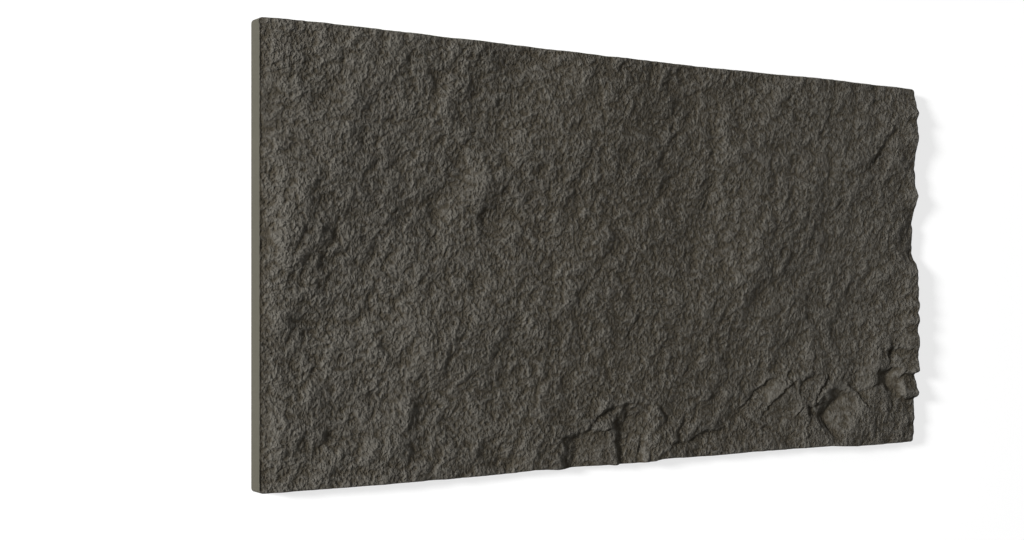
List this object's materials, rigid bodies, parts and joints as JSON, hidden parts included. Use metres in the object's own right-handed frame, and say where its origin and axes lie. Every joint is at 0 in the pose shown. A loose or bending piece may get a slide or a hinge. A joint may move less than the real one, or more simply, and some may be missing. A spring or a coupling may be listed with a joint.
{
  "type": "faux stone wall panel",
  "caption": "Lightweight rectangular wall cladding panel with a split-rock face, chipped ledges along the lower edge, straight cut sides and a flat back.",
  "frame": {"origin": "centre of the panel's flat back, which lies on the ground plane", "axes": "+X along the panel's length, towards the picture's right; +Y along its width, towards the picture's top; +Z out of the rock face"},
  "size_m": [1.2, 0.6, 0.0386],
  "materials": {
    "stone": "matte dark taupe stone coating on moulded foam"
  },
  "bodies": {
    "root": {"stone_panel": "stone"}
  },
  "joints": []
}
